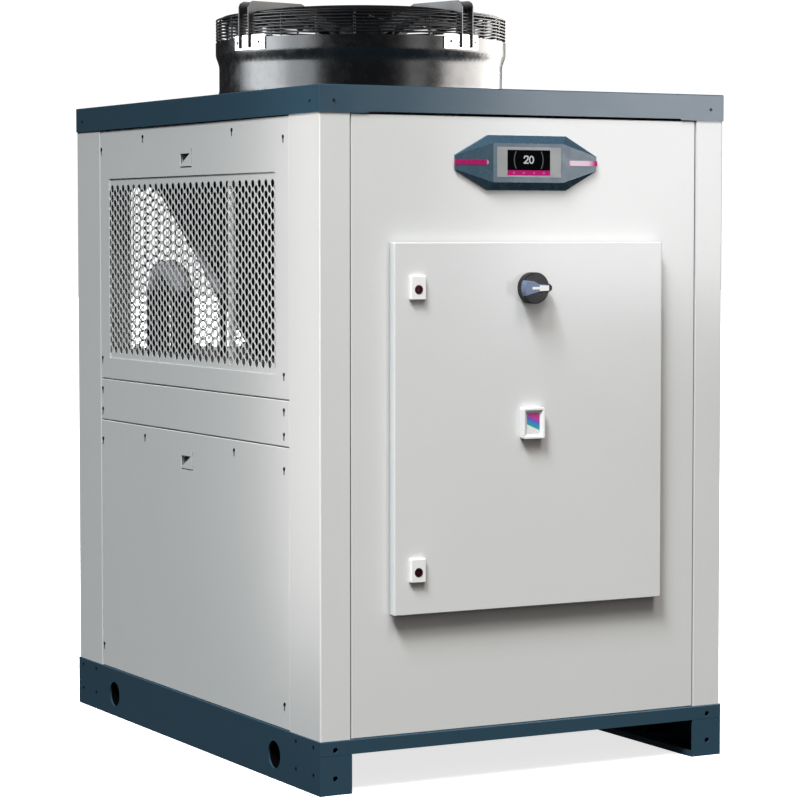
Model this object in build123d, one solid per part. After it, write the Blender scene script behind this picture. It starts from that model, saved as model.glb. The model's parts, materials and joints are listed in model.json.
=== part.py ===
"""Air-cooled water chiller, cabinet type, one axial fan on the roof.

Millimetres, +Z up.  The origin is on the floor, in the middle of the part's
footprint.  The front, with the control enclosure, faces -Y.
Every sub-part is written to parts/NODE.step.
"""
import os
import math
from build123d import *

# ---------------------------------------------------------------- dimensions
W = 977.0            # cabinet width
D = 1295.0           # cabinet depth
H = 1432.0           # floor to the top of the roof cap
PROUD = 58.0         # how far the main switch grip stands in front of the cabinet
BASE_H = 111.0       # height of the base rails
BEAM_Z = 81.0        # underside of the front and rear base beams
RAIL_T = 4.0         # thickness of the base rails
FOOT_W = 73.0        # width of a foot plate
LIP_W = 75.0         # width of the rails' bottom flange
LIFT_R = 29.0        # lifting-bar holes in the rails
LIFT_Z = 51.4
LIFT_D = (212.0, 1073.0)   # their distance from the front
CAP_Z = 1376.0       # lower edge of the roof cap
T = 2.0              # sheet thickness of posts, panels and cap
RET = 16.0           # return flanges of posts and panels
POST_F = 70.5        # posts, seen from the front
POST_SF = 142.0      # front posts, seen from the side
POST_SR = 1151.5     # rear posts start here, from the front
GAP = 3.0            # gap round the panels
SEAM_1 = 793.0       # seam between upper and middle side panels
SEAM_2 = 696.0       # seam between middle and lower side panels
WIN = (207.6, 1098.0, 843.0, 1261.5)   # grille window in a side panel (from front, z)
RWIN = (140.0, 837.0, 843.0, 1261.5)   # grille window in the rear panel (x, z)
BOX = (161.0, 802.0, 361.0, 1114.0)    # enclosure body (x, z)
BOX_IN = 240.0       # enclosure depth behind the front panel
BOX_OUT = -1.0       # enclosure rim in front of the cabinet's front plane
DOOR = (159.0, 804.0, 359.0, 1116.0)   # enclosure door (x, z)
DOOR_F = 22.0        # door face in front of the cabinet
DOOR_B = 4.0         # rear edge of the door in front of the cabinet
HINGE_X = 811.0      # door hinge axis
HINGE_D = -8.0
HINGE_Z = (520.0, 945.0)
LOCK_X = 210.0
LOCK_Z = (446.0, 1021.0)   # centres of the lock inserts
SWITCH = (479.5, 1022.0)
BADGE = (453.6, 506.0, 709.5, 774.0)
FAN_D = 755.0        # fan axis, from the front
FAN_R = 334.0        # outer radius of the fan shroud's rim
RIM_Z = 1570.0       # top of the fan shroud
TOP_Z = 1651.0       # top of the fan's arms
ARM_ANG = (-77.4, 16.4, 102.6, 196.4)   # arms, from straight ahead towards +X
ARM_GAP = 33.5       # distance between the two plates of an arm

Y0 = (PROUD - D) / 2.0     # the cabinet's front plane
CX = W / 2.0

os.makedirs("parts", exist_ok=True)
made = []


def box(x0, x1, d0, d1, z0, z1):
    """A block given by distance from the left side, from the front, and height."""
    b = Box(x1 - x0, d1 - d0, z1 - z0, align=(Align.MIN, Align.MIN, Align.MIN))
    return Pos(x0 - CX, Y0 + d0, z0) * b


def cyl(x, d, z, r, length, axis="Z"):
    """A cylinder that starts at the point given and runs along the axis."""
    c = Cylinder(r, length, align=(Align.CENTER, Align.CENTER, Align.MIN))
    if axis == "X":
        c = Rot(0, 90, 0) * c
    elif axis == "Y":
        c = Rot(-90, 0, 0) * c
    return Pos(x - CX, Y0 + d, z) * c


def join(*shapes):
    out = shapes[0]
    for s in shapes[1:]:
        out = out + s
    return out


def out(name, shape):
    shape = shape if isinstance(shape, (Compound, Solid, Part)) else Part() + shape
    export_step(shape, f"parts/{name}.step")
    made.append((name, len(shape.solids()), round(shape.volume / 1000.0, 1)))


def mirror_x(shape):
    return mirror(shape, about=Plane.YZ)


def poly_xz(points, d0, d1):
    """A plate in the front plane: (x, z) points, from d0 to d1 behind the front."""
    w = Polyline(*[(x - CX, Y0 + d0, z) for x, z in points], close=True)
    f = make_face(w)
    return extrude(f, amount=d1 - d0, dir=(0, 1, 0))


def edges_at(shape, axis, x=None, d=None, z=None):
    """Straight edges along the axis whose middle lies at the places given."""
    found = []
    for e in shape.edges().filter_by(axis):
        c = e.center()
        if x is not None and abs(c.X - (x - CX)) > 0.01:
            continue
        if d is not None and abs(c.Y - (Y0 + d)) > 0.01:
            continue
        if z is not None and abs(c.Z - z) > 0.01:
            continue
        found.append(e)
    return found


def poly_dz(points, x0, x1):
    """A plate in a side plane: (distance from the front, z) points."""
    w = Polyline(*[(x0 - CX, Y0 + d, z) for d, z in points], close=True)
    f = make_face(w)
    return extrude(f, amount=x1 - x0, dir=(1, 0, 0))


# ---------------------------------------------------------------- base frame
rail = join(
    box(0, RAIL_T, RAIL_T, D - RAIL_T, 0, BASE_H),
    box(0, 60, RAIL_T, D - RAIL_T, BASE_H - RAIL_T, BASE_H),
    box(0, LIP_W, RAIL_T, D - RAIL_T, 0, RAIL_T),
    box(LIP_W - RAIL_T, LIP_W, RAIL_T, D - RAIL_T, 0, 13),
    box(0, FOOT_W, 0, RAIL_T, 0, BEAM_Z - 0.6),
    box(0, FOOT_W, D - RAIL_T, D, 0, BEAM_Z - 0.6),
)
for d in LIFT_D:
    rail = rail - cyl(-1, d, LIFT_Z, LIFT_R, RAIL_T + 2, "X")
for d in (-1.0, D - RAIL_T - 1.0):
    rail = rail - cyl(35.0, d, 34.0, 5.5, RAIL_T + 2, "Y")
rail = fillet(edges_at(rail, Axis.Y, x=0, z=BASE_H), 2.5)
out("base_rail_left", rail)
out("base_rail_right", mirror_x(rail))

beam = join(
    box(0, W, 0, RAIL_T, BEAM_Z, BASE_H),
    box(60, W - 60, RAIL_T, 50, BASE_H - RAIL_T, BASE_H),
)
for x in (35.0, W - 35.0):
    beam = beam - cyl(x, -1.0, 92.0, 5.5, RAIL_T + 2, "Y")
beam = fillet(edges_at(beam, Axis.X, d=0, z=BASE_H), 2.5)
beam_r = join(
    box(0, W, D - RAIL_T, D, BEAM_Z, BASE_H),
    box(60, W - 60, D - 50, D - RAIL_T, BASE_H - RAIL_T, BASE_H),
)
for x in (35.0, W - 35.0):
    beam_r = beam_r - cyl(x, D - RAIL_T - 1.0, 92.0, 5.5, RAIL_T + 2, "Y")
beam_r = fillet(edges_at(beam_r, Axis.X, d=D, z=BASE_H), 2.5)
out("base_beams", beam + beam_r)
out("base_tray", box(60, W - 60, 50, D - 50, BASE_H - RAIL_T, BASE_H - 1))

# ---------------------------------------------------------------- corner posts
POST_TOP = H - T
post = join(
    box(T, POST_F, T, 2 * T, BASE_H, POST_TOP),
    box(T, 2 * T, T, POST_SF, BASE_H, POST_TOP),
    box(POST_F - T, POST_F, 2 * T, RET, BASE_H, POST_TOP),
    box(2 * T, RET, POST_SF - T, POST_SF, BASE_H, POST_TOP),
)
post = fillet(edges_at(post, Axis.Z, x=T, d=T), 3.0)
post = fillet(edges_at(post, Axis.Z, x=POST_F, d=T), 1.5)
post = fillet(edges_at(post, Axis.Z, x=T, d=POST_SF), 1.5)
out("front_corner_posts", post + mirror_x(post))
post_r = join(
    box(T, POST_F, D - 2 * T, D - T, BASE_H, POST_TOP),
    box(T, 2 * T, POST_SR, D - T, BASE_H, POST_TOP),
    box(POST_F - T, POST_F, D - RET, D - 2 * T, BASE_H, POST_TOP),
    box(2 * T, RET, POST_SR, POST_SR + T, BASE_H, POST_TOP),
)
post_r = fillet(edges_at(post_r, Axis.Z, x=T, d=D - T), 3.0)
post_r = fillet(edges_at(post_r, Axis.Z, x=POST_F, d=D - T), 1.5)
post_r = fillet(edges_at(post_r, Axis.Z, x=T, d=POST_SR), 1.5)
out("rear_corner_posts", post_r + mirror_x(post_r))

# ---------------------------------------------------------------- roof cap
cap = box(0, W, 0, D, CAP_Z, H)
cap = fillet(cap.edges().filter_by(Axis.Z), 2.5)
cap = fillet(cap.faces().sort_by(Axis.Z)[-1].outer_wire().edges(), 2.0)
cap = cap - box(T, W - T, T, D - T, CAP_Z - 1, H - T)
# the skirt's lower edge is stepped up between the posts
cap = cap - box(112, W - 111, -1, T + 0.5, CAP_Z - 1, CAP_Z + 3)
cap = cap - box(112, W - 111, D - T - 0.5, D + 1, CAP_Z - 1, CAP_Z + 3)
# folded corner seams on the sides
for x0, x1 in ((-1.0, 0.9), (W - 0.9, W + 1.0)):
    for d in (3.6, D - 5.0):
        cap = cap - box(x0, x1, d, d + 1.4, CAP_Z - 1, H - 3.5)
cap = cap - cyl(CX, FAN_D, H - 10, 318.0, 20)
out("roof_cap", cap)

# ---------------------------------------------------------------- front panel
S = T + 1.0          # panel faces lie this far behind the cap and base faces
PX0, PX1 = POST_F + GAP, W - POST_F - GAP
PZ0, PZ1 = BASE_H + 0.5, CAP_Z - 2.0


def pan_front(x0, x1, z0, z1, d, sign=1):
    """A folded panel facing the front (sign 1) or the rear (sign -1)."""
    a, b = (d, d + T) if sign > 0 else (d - T, d)
    e, f = (d, d + RET) if sign > 0 else (d - RET, d)
    p = join(
        box(x0, x1, a, b, z0, z1),
        box(x0, x0 + T, e, f, z0, z1),
        box(x1 - T, x1, e, f, z0, z1),
        box(x0, x1, e, f, z0, z0 + T),
        box(x0, x1, e, f, z1 - T, z1),
    )
    out_edges = (edges_at(p, Axis.X, d=d, z=z0) + edges_at(p, Axis.X, d=d, z=z1)
                 + edges_at(p, Axis.Z, d=d, x=x0) + edges_at(p, Axis.Z, d=d, x=x1))
    return fillet(out_edges, 1.5)


def pan_side(d0, d1, z0, z1, x):
    """A folded panel facing the left side."""
    p = join(
        box(x, x + T, d0, d1, z0, z1),
        box(x, x + RET, d0, d0 + T, z0, z1),
        box(x, x + RET, d1 - T, d1, z0, z1),
        box(x, x + RET, d0, d1, z0, z0 + T),
        box(x, x + RET, d0, d1, z1 - T, z1),
    )
    out_edges = (edges_at(p, Axis.Y, x=x, z=z0) + edges_at(p, Axis.Y, x=x, z=z1)
                 + edges_at(p, Axis.Z, x=x, d=d0) + edges_at(p, Axis.Z, x=x, d=d1))
    return fillet(out_edges, 1.5)


front = pan_front(PX0, PX1, PZ0, PZ1, S)
front = front - box(BOX[0] - 0.5, BOX[1] + 0.5, -5, 30, BOX[2] - 0.5, BOX[3] + 0.5)
out("front_panel", front)


# finger pull: a three-cornered opening beside an L-shaped slit
def pull_cut(z):
    tri = poly_dz([(688.0, z + 31.0), (636.0, z + 31.0), (688.0, z + 5.0)], 0, 12)
    slit = join(
        box(0, 12, 625.5, 630.5, z, z + 41.0),
        box(0, 12, 625.5, 688.0, z, z + 3.0),
    )
    return join(tri, slit)


SD0, SD1 = POST_SF + 1.5, POST_SR - GAP
upper = pan_side(SD0, SD1, SEAM_1 + 1.2, PZ1, S)
upper = upper - box(0, 12, WIN[0], WIN[1], WIN[2], WIN[3]) - pull_cut(1279.0)
middle = pan_side(SD0, SD1, SEAM_2 + 1.2, SEAM_1 - 1.2, S)
lower = pan_side(SD0, SD1, PZ0, SEAM_2 - 1.2, S)
lower = lower - pull_cut(612.0)
grille = box(S + T, S + T + 1.5, WIN[0] - 15, WIN[1] + 15, WIN[2] - 15, WIN[3] + 15)
for side, f in (("left", lambda s: s), ("right", mirror_x)):
    out(f"{side}_upper_panel", f(upper))
    out(f"{side}_middle_panel", f(middle))
    out(f"{side}_lower_panel", f(lower))
    out(f"{side}_grille", f(grille))

# ---------------------------------------------------------------- rear panels
r_up = pan_front(PX0, PX1, SEAM_1 + 1.2, PZ1, D - S, -1)
r_up = r_up - box(RWIN[0], RWIN[1], D - 12, D + 1, RWIN[2], RWIN[3])
out("rear_upper_panel", r_up)
out("rear_middle_panel", pan_front(PX0, PX1, SEAM_2 + 1.2, SEAM_1 - 1.2, D - S, -1))
out("rear_lower_panel", pan_front(PX0, PX1, PZ0, SEAM_2 - 1.2, D - S, -1))
out("rear_grille", box(RWIN[0] - 15, RWIN[1] + 15, D - S - T - 1.5, D - S - T,
                       RWIN[2] - 15, RWIN[3] + 15))

# ---------------------------------------------------------------- enclosure
bx = box(BOX[0], BOX[1], -BOX_OUT, BOX_IN, BOX[2], BOX[3])
bx = bx - box(BOX[0] + T, BOX[1] - T, -BOX_OUT - 1, BOX_IN - T, BOX[2] + T, BOX[3] - T)
rim = box(BOX[0], BOX[1], -BOX_OUT, -BOX_OUT + T, BOX[2], BOX[3])
rim = rim - box(BOX[0] + 16, BOX[1] - 16, -BOX_OUT - 1, 5, BOX[2] + 16, BOX[3] - 16)
out("enclosure_box", bx + rim)
rails = box(BOX[0] + 25, BOX[1] - 25, BOX_IN - 20, BOX_IN - 17, BOX[2] + 25, BOX[3] - 25)
for z in (560.0, 760.0, 960.0):
    r = join(box(230, 750, BOX_IN - 22, BOX_IN - 20, z - 13, z + 13),
             box(230, 750, BOX_IN - 27, BOX_IN - 22, z - 13.0, z - 11.5),
             box(230, 750, BOX_IN - 27, BOX_IN - 22, z + 11.5, z + 13.0),
             box(230, 750, BOX_IN - 28.5, BOX_IN - 27, z - 17.5, z - 11.5),
             box(230, 750, BOX_IN - 28.5, BOX_IN - 27, z + 11.5, z + 17.5))
    rails = rails + r
out("mounting_plate", rails)
gear = None
for z, blocks in ((960.0, ((260, 314, 80, 62), (330, 384, 80, 62), (400, 472, 84, 70),
                           (520, 592, 84, 70), (640, 712, 84, 70))),
                  (760.0, ((260, 305, 86, 80), (309, 354, 86, 80), (380, 425, 86, 80),
                           (470, 640, 100, 66))),
                  (560.0, ((260, 700, 52, 46),))):
    for x0, x1, h, dep in blocks:
        b = box(x0, x1, BOX_IN - 28.5 - dep, BOX_IN - 28.5, z - h / 2, z + h / 2)
        gear = b if gear is None else gear + b
out("control_gear", gear)

door = box(DOOR[0], DOOR[1], -DOOR_F, -DOOR_B, DOOR[2], DOOR[3])
door = fillet(door.edges().filter_by(Axis.Y), 2.0)
door = fillet(door.faces().sort_by(Axis.Y)[0].outer_wire().edges(), 1.8)
door = door - box(DOOR[0] + T, DOOR[1] - T, -DOOR_F + T, -DOOR_B + 1,
                  DOOR[2] + T, DOOR[3] - T)
door = door - cyl(SWITCH[0], -DOOR_F - 1, SWITCH[1], 11.0, 5, "Y")
out("enclosure_door", door)
gk = box(DOOR[0] + 9, DOOR[1] - 9, -DOOR_F + T, -DOOR_F + T + 12, DOOR[2] + 9, DOOR[3] - 9)
gk = gk - box(DOOR[0] + 21, DOOR[1] - 21, -DOOR_F, 0, DOOR[2] + 21, DOOR[3] - 21)
out("door_gasket", gk)

# hinges: the box carries the lower barrel and the pin, the door the upper barrel
fixed = moving = None
for z in HINGE_Z:
    a = join(cyl(HINGE_X, HINGE_D, z - 25, 5.0, 25),
             box(HINGE_X - 5, HINGE_X, HINGE_D, -1.2, z - 25, z),
             box(BOX[1], HINGE_X, -2.8, 0.4, z - 25, z),
             box(BOX[1], BOX[1] + 2, 0.4, 2.6, z - 25, z),
             cyl(HINGE_X, HINGE_D, z, 2.5, 26))
    b = join(cyl(HINGE_X, HINGE_D, z + 0.5, 5.0, 25),
             box(DOOR[1] - 0.2, HINGE_X, HINGE_D - 4.5, HINGE_D - 1.0, z + 0.5, z + 25.5))
    b = b - cyl(HINGE_X, HINGE_D, z - 1, 2.55, 28.5) - box(DOOR[1] - 1, DOOR[1], -20, 0, z, z + 26)
    fixed = a if fixed is None else fixed + a
    moving = b if moving is None else moving + b
out("door_hinge_pins", fixed)
out("door_hinge_knuckles", moving)

# lock housings and their turning inserts
hous = None
for z in LOCK_Z:
    h = box(LOCK_X - 18, LOCK_X + 18, -DOOR_F - 9, -DOOR_F, z - 21.5, z + 28.5)
    h = fillet(h.edges().filter_by(Axis.Y), 3.5)
    h = chamfer(h.faces().sort_by(Axis.Y)[0].outer_wire().edges(), 2.2)
    h = h - cyl(LOCK_X, -DOOR_F - 10, z, 9.6, 9.0, "Y")
    hous = h if hous is None else hous + h
out("lock_housings", hous)
for nm, z in (("lock_insert_lower", LOCK_Z[0]), ("lock_insert_upper", LOCK_Z[1])):
    i = cyl(LOCK_X, -DOOR_F - 9.6, z, 9.0, 8.2, "Y")
    i = i - cyl(LOCK_X, -DOOR_F - 10, z, 6.4, 5.0, "Y")
    key = Box(6.6, 5.0, 6.6, align=(Align.CENTER, Align.MIN, Align.CENTER))
    i = i + Pos(LOCK_X - CX, Y0 - DOOR_F - 8.0, z) * (Rot(0, 45, 0) * key)
    out(nm, i)

# main switch: drum on the door, turning grip, coupling behind the door
sx, sz = SWITCH
plate = cyl(sx, -DOOR_F - 20, sz, 32.5, 20, "Y")
plate = fillet(plate.faces().sort_by(Axis.Y)[0].outer_wire().edges(), 1.5)
nub = poly_xz([(sx + 25, sz - 9.5), (sx + 25, sz + 9.5), (sx + 34, sz + 8.5), (sx + 40, sz + 3.5),
               (sx + 40, sz - 3.5), (sx + 34, sz - 8.5)], -DOOR_F - 18.5, -DOOR_F - 9)
plate = plate + nub
plate = plate - cyl(sx, -DOOR_F - 21, sz, 4.6, 23, "Y")
out("switch_plate", plate)
wedge = poly_xz([(sx - 36, sz), (sx - 35, sz + 8.5), (sx - 32, sz + 16), (sx - 13, sz + 13.8),
                 (sx, sz + 7.6), (sx + 23, sz + 6.4), (sx + 23, sz - 6.4), (sx, sz - 7.6),
                 (sx - 13, sz - 11.5), (sx - 32, sz - 16), (sx - 35, sz - 8.5)],
                -DOOR_F - 36, -DOOR_F - 21)
wedge = chamfer(wedge.faces().sort_by(Axis.Y)[0].outer_wire().edges(), 1.4)
grip = wedge + cyl(sx, -DOOR_F - 21.5, sz, 4.5, 38, "Y")
out("switch_grip", grip)
coup = box(sx - 22, sx + 22, -DOOR_F + T, -DOOR_F + T + 14, sz - 22, sz + 22)
coup = coup - cyl(sx, -DOOR_F, sz, 4.6, 30, "Y")
out("switch_coupling", coup)


def frame_xz(x0, x1, z0, z1, d):
    return make_face(Polyline(*[(x - CX, Y0 + d, z) for x, z in
                                ((x0, z0), (x0, z1), (x1, z1), (x1, z0))], close=True))


# badge with a plain sunk face
bd = box(BADGE[0], BADGE[1], -DOOR_F - 15, -DOOR_F, BADGE[2], BADGE[3])
bd = fillet(bd.edges().filter_by(Axis.Y), 4.0)
bd = fillet(bd.faces().sort_by(Axis.Y)[0].outer_wire().edges(), 1.0)
sink = loft([frame_xz(BADGE[0] + 4.2, BADGE[1] - 4.2, BADGE[2] + 4.6, BADGE[3] - 4.6, -DOOR_F - 15.2),
             frame_xz(BADGE[0] + 10.2, BADGE[1] - 10.2, BADGE[2] + 10.0, BADGE[3] - 10.2, -DOOR_F - 9.8)],
            ruled=True)
bd = bd - sink
out("door_badge", bd)

# ---------------------------------------------------------------- operator display
DB, DF = -3.0, -12.0     # the housing's edge and its flat face
hexa = [(311, 1265), (311, 1295), (388, 1336.5), (575, 1336.5),
        (650.5, 1295), (650.5, 1265), (575, 1223.5), (388, 1223.5)]
IX0, IX1, IZ0, IZ1 = 395.0, 563.0, 1239.5, 1320.0    # the flat part of the face


def plan_xd(points, z0, z1):
    """A block from its plan: (x, distance from the front) points."""
    w = Polyline(*[(x - CX, Y0 + d, z0) for x, d in points], close=True)
    return extrude(make_face(w), amount=z1 - z0, dir=(0, 0, 1))


body = poly_xz(hexa, DF - 1, DB)
body = body & plan_xd([(311, DB), (IX0, DF), (IX1, DF), (650.5, DB)], 1200, 1360)
body = body & poly_dz([(DB, 1223.5), (DF, IZ0), (DF, IZ1), (DB, 1336.5)], 300, 660)
for (ex, ez), (cx_, cz), (ix, iz) in (
        ((311, 1295), (388, 1336.5), (IX0, IZ1)), ((311, 1265), (388, 1223.5), (IX0, IZ0)),
        ((650.5, 1295), (575, 1336.5), (IX1, IZ1)), ((650.5, 1265), (575, 1223.5), (IX1, IZ0))):
    p0 = Vector(ex - CX, Y0 + DB, ez)
    p1 = Vector(cx_ - CX, Y0 + DB, cz)
    p2 = Vector(ix - CX, Y0 + DF, iz)
    n = (p1 - p0).cross(p2 - p0)
    if n.Y > 0:
        n = n * -1
    cutter = Box(600, 600, 60, align=(Align.CENTER, Align.CENTER, Align.MIN))
    body = body - Plane(origin=p0, x_dir=(p1 - p0), z_dir=n) * cutter
body = body + poly_xz(hexa, DB, S)
mod = (403.4, 557.4, 1250.5, 1312.5)
scr = (428.0, 531.2, 1254.0, 1306.5)
BZ0, BZ1 = 1275.5, 1286.0
slope_l = (DF - DB) / (IX0 - 311.0)
slope_r = (DF - DB) / (650.5 - IX1)
lbar = plan_xd([(309.3, 0.2), (309.3, DB - 0.5), (384, DB + slope_l * 73 - 0.5), (384, DB + slope_l * 73 + 3)],
               BZ0, BZ1)
lbar = fillet(edges_at(lbar, Axis.Y, x=384), 4.6)
rbar = plan_xd([(652.2, 0.2), (652.2, DB - 0.5), (577, DB + slope_r * 73.5 - 0.5), (577, DB + slope_r * 73.5 + 3)],
               BZ0, BZ1)
rbar = fillet(edges_at(rbar, Axis.Y, x=577), 4.6)
body = body - box(mod[0], mod[1], -30, -8, mod[2], mod[3]) - lbar - rbar
out("display_housing", body)
module = box(mod[0], mod[1], -12.6, -8, mod[2], mod[3])
module = module - box(scr[0], scr[1], -26, -11.4, scr[2], scr[3])
out("display_module", module)
out("display_screen", box(scr[0], scr[1], -12.2, -11.4, scr[2], scr[3]))
out("display_lights", lbar + rbar)

# ---------------------------------------------------------------- fan
FY = Y0 + FAN_D


def turned(points):
    """A ring turned about the fan's axis from (r, z) points."""
    f = make_face(Polyline(*[(r, 0, z) for r, z in points], close=True))
    return Pos(0, FY, 0) * revolve(f, Axis.Z, 360)


def at(points):
    return [(r, 0, z) for r, z in points]


edges = [Polyline(*at([(344, H + 2.5), (352, H + 2.5), (352, H), (324, H), (324, H + 22), (322.5, H + 32),
                       (322.5, H + 78), (323.5, H + 89), (326.5, H + 98), (329.5, H + 106),
                       (330.5, H + 113), (330.5, RIM_Z), (334, RIM_Z), (334, H + 113)])),
         Spline(*at([(334, H + 113), (332.9, H + 105), (330, H + 97), (327.3, H + 88), (326, H + 78)]),
                tangents=[(0, 0, -1), (0, 0, -1)]),
         Line(*at([(326, H + 78), (326, H + 32)])),
         Spline(*at([(326, H + 32), (327.5, H + 22), (331, H + 13), (337, H + 6.2), (344, H + 2.5)]),
                tangents=[(0, 0, -1), (1, 0, -0.35)])]
profile = make_face(Wire(sum([list(e.edges()) for e in edges], [])))
shroud = Pos(0, FY, 0) * revolve(profile, Axis.Z, 360)
out("fan_shroud", shroud)


def radial(shape, ang):
    """Turn a piece built along straight ahead (-Y) to the angle given."""
    return Pos(0, FY, 0) * (Rot(0, 0, ang) * shape)


def radial_plate(points, x0, x1):
    """A plate in the radial plane: (r, z) points, r counted towards -Y."""
    f = make_face(Polyline(*[(x0, -r, z) for r, z in points], close=True))
    return extrude(f, amount=x1 - x0, dir=(1, 0, 0))


MOTOR_R = 78.0
arm_out = [(342, 1546), (342, 1637), (338, 1646), (328, TOP_Z), (190, TOP_Z), (150, 1633),
           (MOTOR_R + 4, 1606), (MOTOR_R + 4, 1580), (146, 1608), (186, 1625), (319, 1625),
           (322, 1622), (322, RIM_Z + 6.0), (337.3, RIM_Z + 6.0), (337.3, 1546)]
arms = None
for ang in ARM_ANG:
    for s in (-1, 1):
        x0 = s * ARM_GAP / 2 - 1.25
        a = radial(radial_plate(arm_out, x0, x0 + 2.5), ang)
        arms = a if arms is None else arms + a
ring = turned([(MOTOR_R + 0.5, 1580), (MOTOR_R + 7, 1580), (MOTOR_R + 7, 1606), (MOTOR_R + 0.5, 1606)])
arms = arms + ring
out("fan_arms", arms)

# foot brackets of the arms, on the rim
feet = None
for ang, side in zip(ARM_ANG, (1, -1, 1, -1)):
    b = turned([(334.2, 1543), (337.2, 1543), (337.2, 1575), (334.2, 1575)])
    wedge_b = Box(102, 60, 60, align=(Align.CENTER, Align.CENTER, Align.CENTER))
    wedge_b = radial(Pos(11.0 * side, -335, 1559) * wedge_b, ang)
    f = b & wedge_b
    for x in (-30.0 * side, 45.0 * side):
        slot = Pos(x, -345, 1559) * (Rot(-90, 0, 0) * Cylinder(4.0, 30, align=(Align.CENTER, Align.CENTER, Align.MIN)))
        f = f - radial(slot, ang)
    feet = f if feet is None else feet + f
out("fan_brackets", feet)

# motor: fixed part with its shaft
motor = turned([(0, 1548), (MOTOR_R, 1548), (MOTOR_R, 1606), (60, 1614), (0, 1614)])
motor = motor + Pos(0, FY, 1500) * Cylinder(12.0, 60, align=(Align.CENTER, Align.CENTER, Align.MIN))
out("fan_motor", motor)

# guard: rings and radial wires, open where the arms pass
wires = [(333.5, RIM_Z + 0.5), (333.5, 1622), (330, 1626.5), (250, 1640), (160, 1646), (60, 1648),
         (60, 1644.5), (160, 1642.5), (250, 1636.5), (328.5, 1623), (330, 1620), (330, RIM_Z + 0.5)]
guard = None
for k in range(12):
    ang = 15.0 + 30.0 * k
    if min(abs((ang - a + 180.0) % 360.0 - 180.0) for a in ARM_ANG) < 5.0:
        continue
    w = radial(radial_plate(wires, -1.75, 1.75), ang)
    guard = w if guard is None else guard + w
for r, z in ((331.75, 1577), (331.75, 1592), (331.75, 1607), (331.75, 1620), (290, 1630.5),
             (250, 1637), (205, 1640.2), (160, 1643), (110, 1644.2), (62, 1645.5)):
    guard = guard + turned([(r - 2, z - 2), (r + 2, z - 2), (r + 2, z + 2), (r - 2, z + 2)])
clear_out = [(344, 1540), (344, 1638), (339, 1648), (329, 1653), (189, 1653), (149, 1635),
             (60, 1600), (60, 1574), (147, 1606), (187, 1623), (317, 1623),
             (320, 1621), (320, 1540)]
for ang in ARM_ANG:
    for s in (-1, 1):
        x0 = s * ARM_GAP / 2 - 2.0
        guard = guard - radial(radial_plate(clear_out, x0, x0 + 4.0), ang)
solids = sorted(guard.solids(), key=lambda q: -q.volume)
guard = solids[0]
out("fan_guard", guard)
lost = len(solids) - 1

# impeller: hub and seven blades, turning about the fan's axis
hub = turned([(12.05, 1545), (88, 1545), (92, 1541), (92, 1462), (84, 1450), (0, 1450), (0, 1490), (12.05, 1490)])
blades = None
N = 7
for k in range(N):
    secs = []
    for r, chord, pitch, lead in ((84.0, 104.0, 42.0, 0.0), (150.0, 128.0, 34.0, -5.0),
                                   (225.0, 150.0, 27.0, -7.0), (298.0, 168.0, 21.0, -4.0)):
        th = math.radians(360.0 / N * k + lead)
        c = Vector(r * math.cos(th), r * math.sin(th), 1497.0)
        tang = Vector(-math.sin(th), math.cos(th), 0)
        p = math.radians(pitch)
        u = tang * math.cos(p) + Vector(0, 0, 1) * math.sin(p)
        v = Vector(0, 0, 1) * math.cos(p) - tang * math.sin(p)
        pts = [c + u * (chord / 2) * a + v * 2.0 * b for a, b in ((-1, -1), (1, -1), (1, 1), (-1, 1))]
        secs.append(make_face(Polyline(*[tuple(q) for q in pts], close=True)))
    b = Pos(0, FY, 0) * loft(secs, ruled=True)
    blades = b if blades is None else blades + b
imp = hub + blades
out("fan_impeller", imp)

# ---------------------------------------------------------------- seen through the grilles
coil = None
cw = 560.0
slab = Box(40, 820, cw, align=(Align.CENTER, Align.MIN, Align.CENTER))
slab_l = Pos(-225, Y0 + 320, 1085) * (Rot(0, -32, 0) * slab)
out("condenser_coils", slab_l + mirror_x(slab_l))


def tube(points, r, bend):
    path = FilletPolyline(*points, radius=bend)
    start = path @ 0
    tan = path % 0
    return sweep(Plane(origin=start, z_dir=tan) * Circle(r), path)


px = 112.0 - CX
pipe = tube([(px, Y0 + 925, 860), (px, Y0 + 925, 1045), (px, Y0 + 1063, 1045), (px, Y0 + 1063, 860)],
            27.0, 62.0)
thin = tube([(px, Y0 + 700, 860), (px, Y0 + 700, 985), (px, Y0 + 850, 1105), (px + 60, Y0 + 850, 1105)],
            9.0, 28.0)
out("refrigerant_pipes", pipe + thin)

for m in made:
    print(m)
print("nodes", len(made), "guard pieces dropped", lost)
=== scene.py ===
"""Looks of the cabinet water chiller: materials, fine pieces, light and camera.

Metres, +Z up, the front faces -Y.  P(x, d, z) takes millimetres from the left
side, from the front plane and from the floor.
"""
import json
import math

import bpy
import numpy as np
from mathutils import Matrix, Vector
from mathutils.geometry import tessellate_polygon

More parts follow.
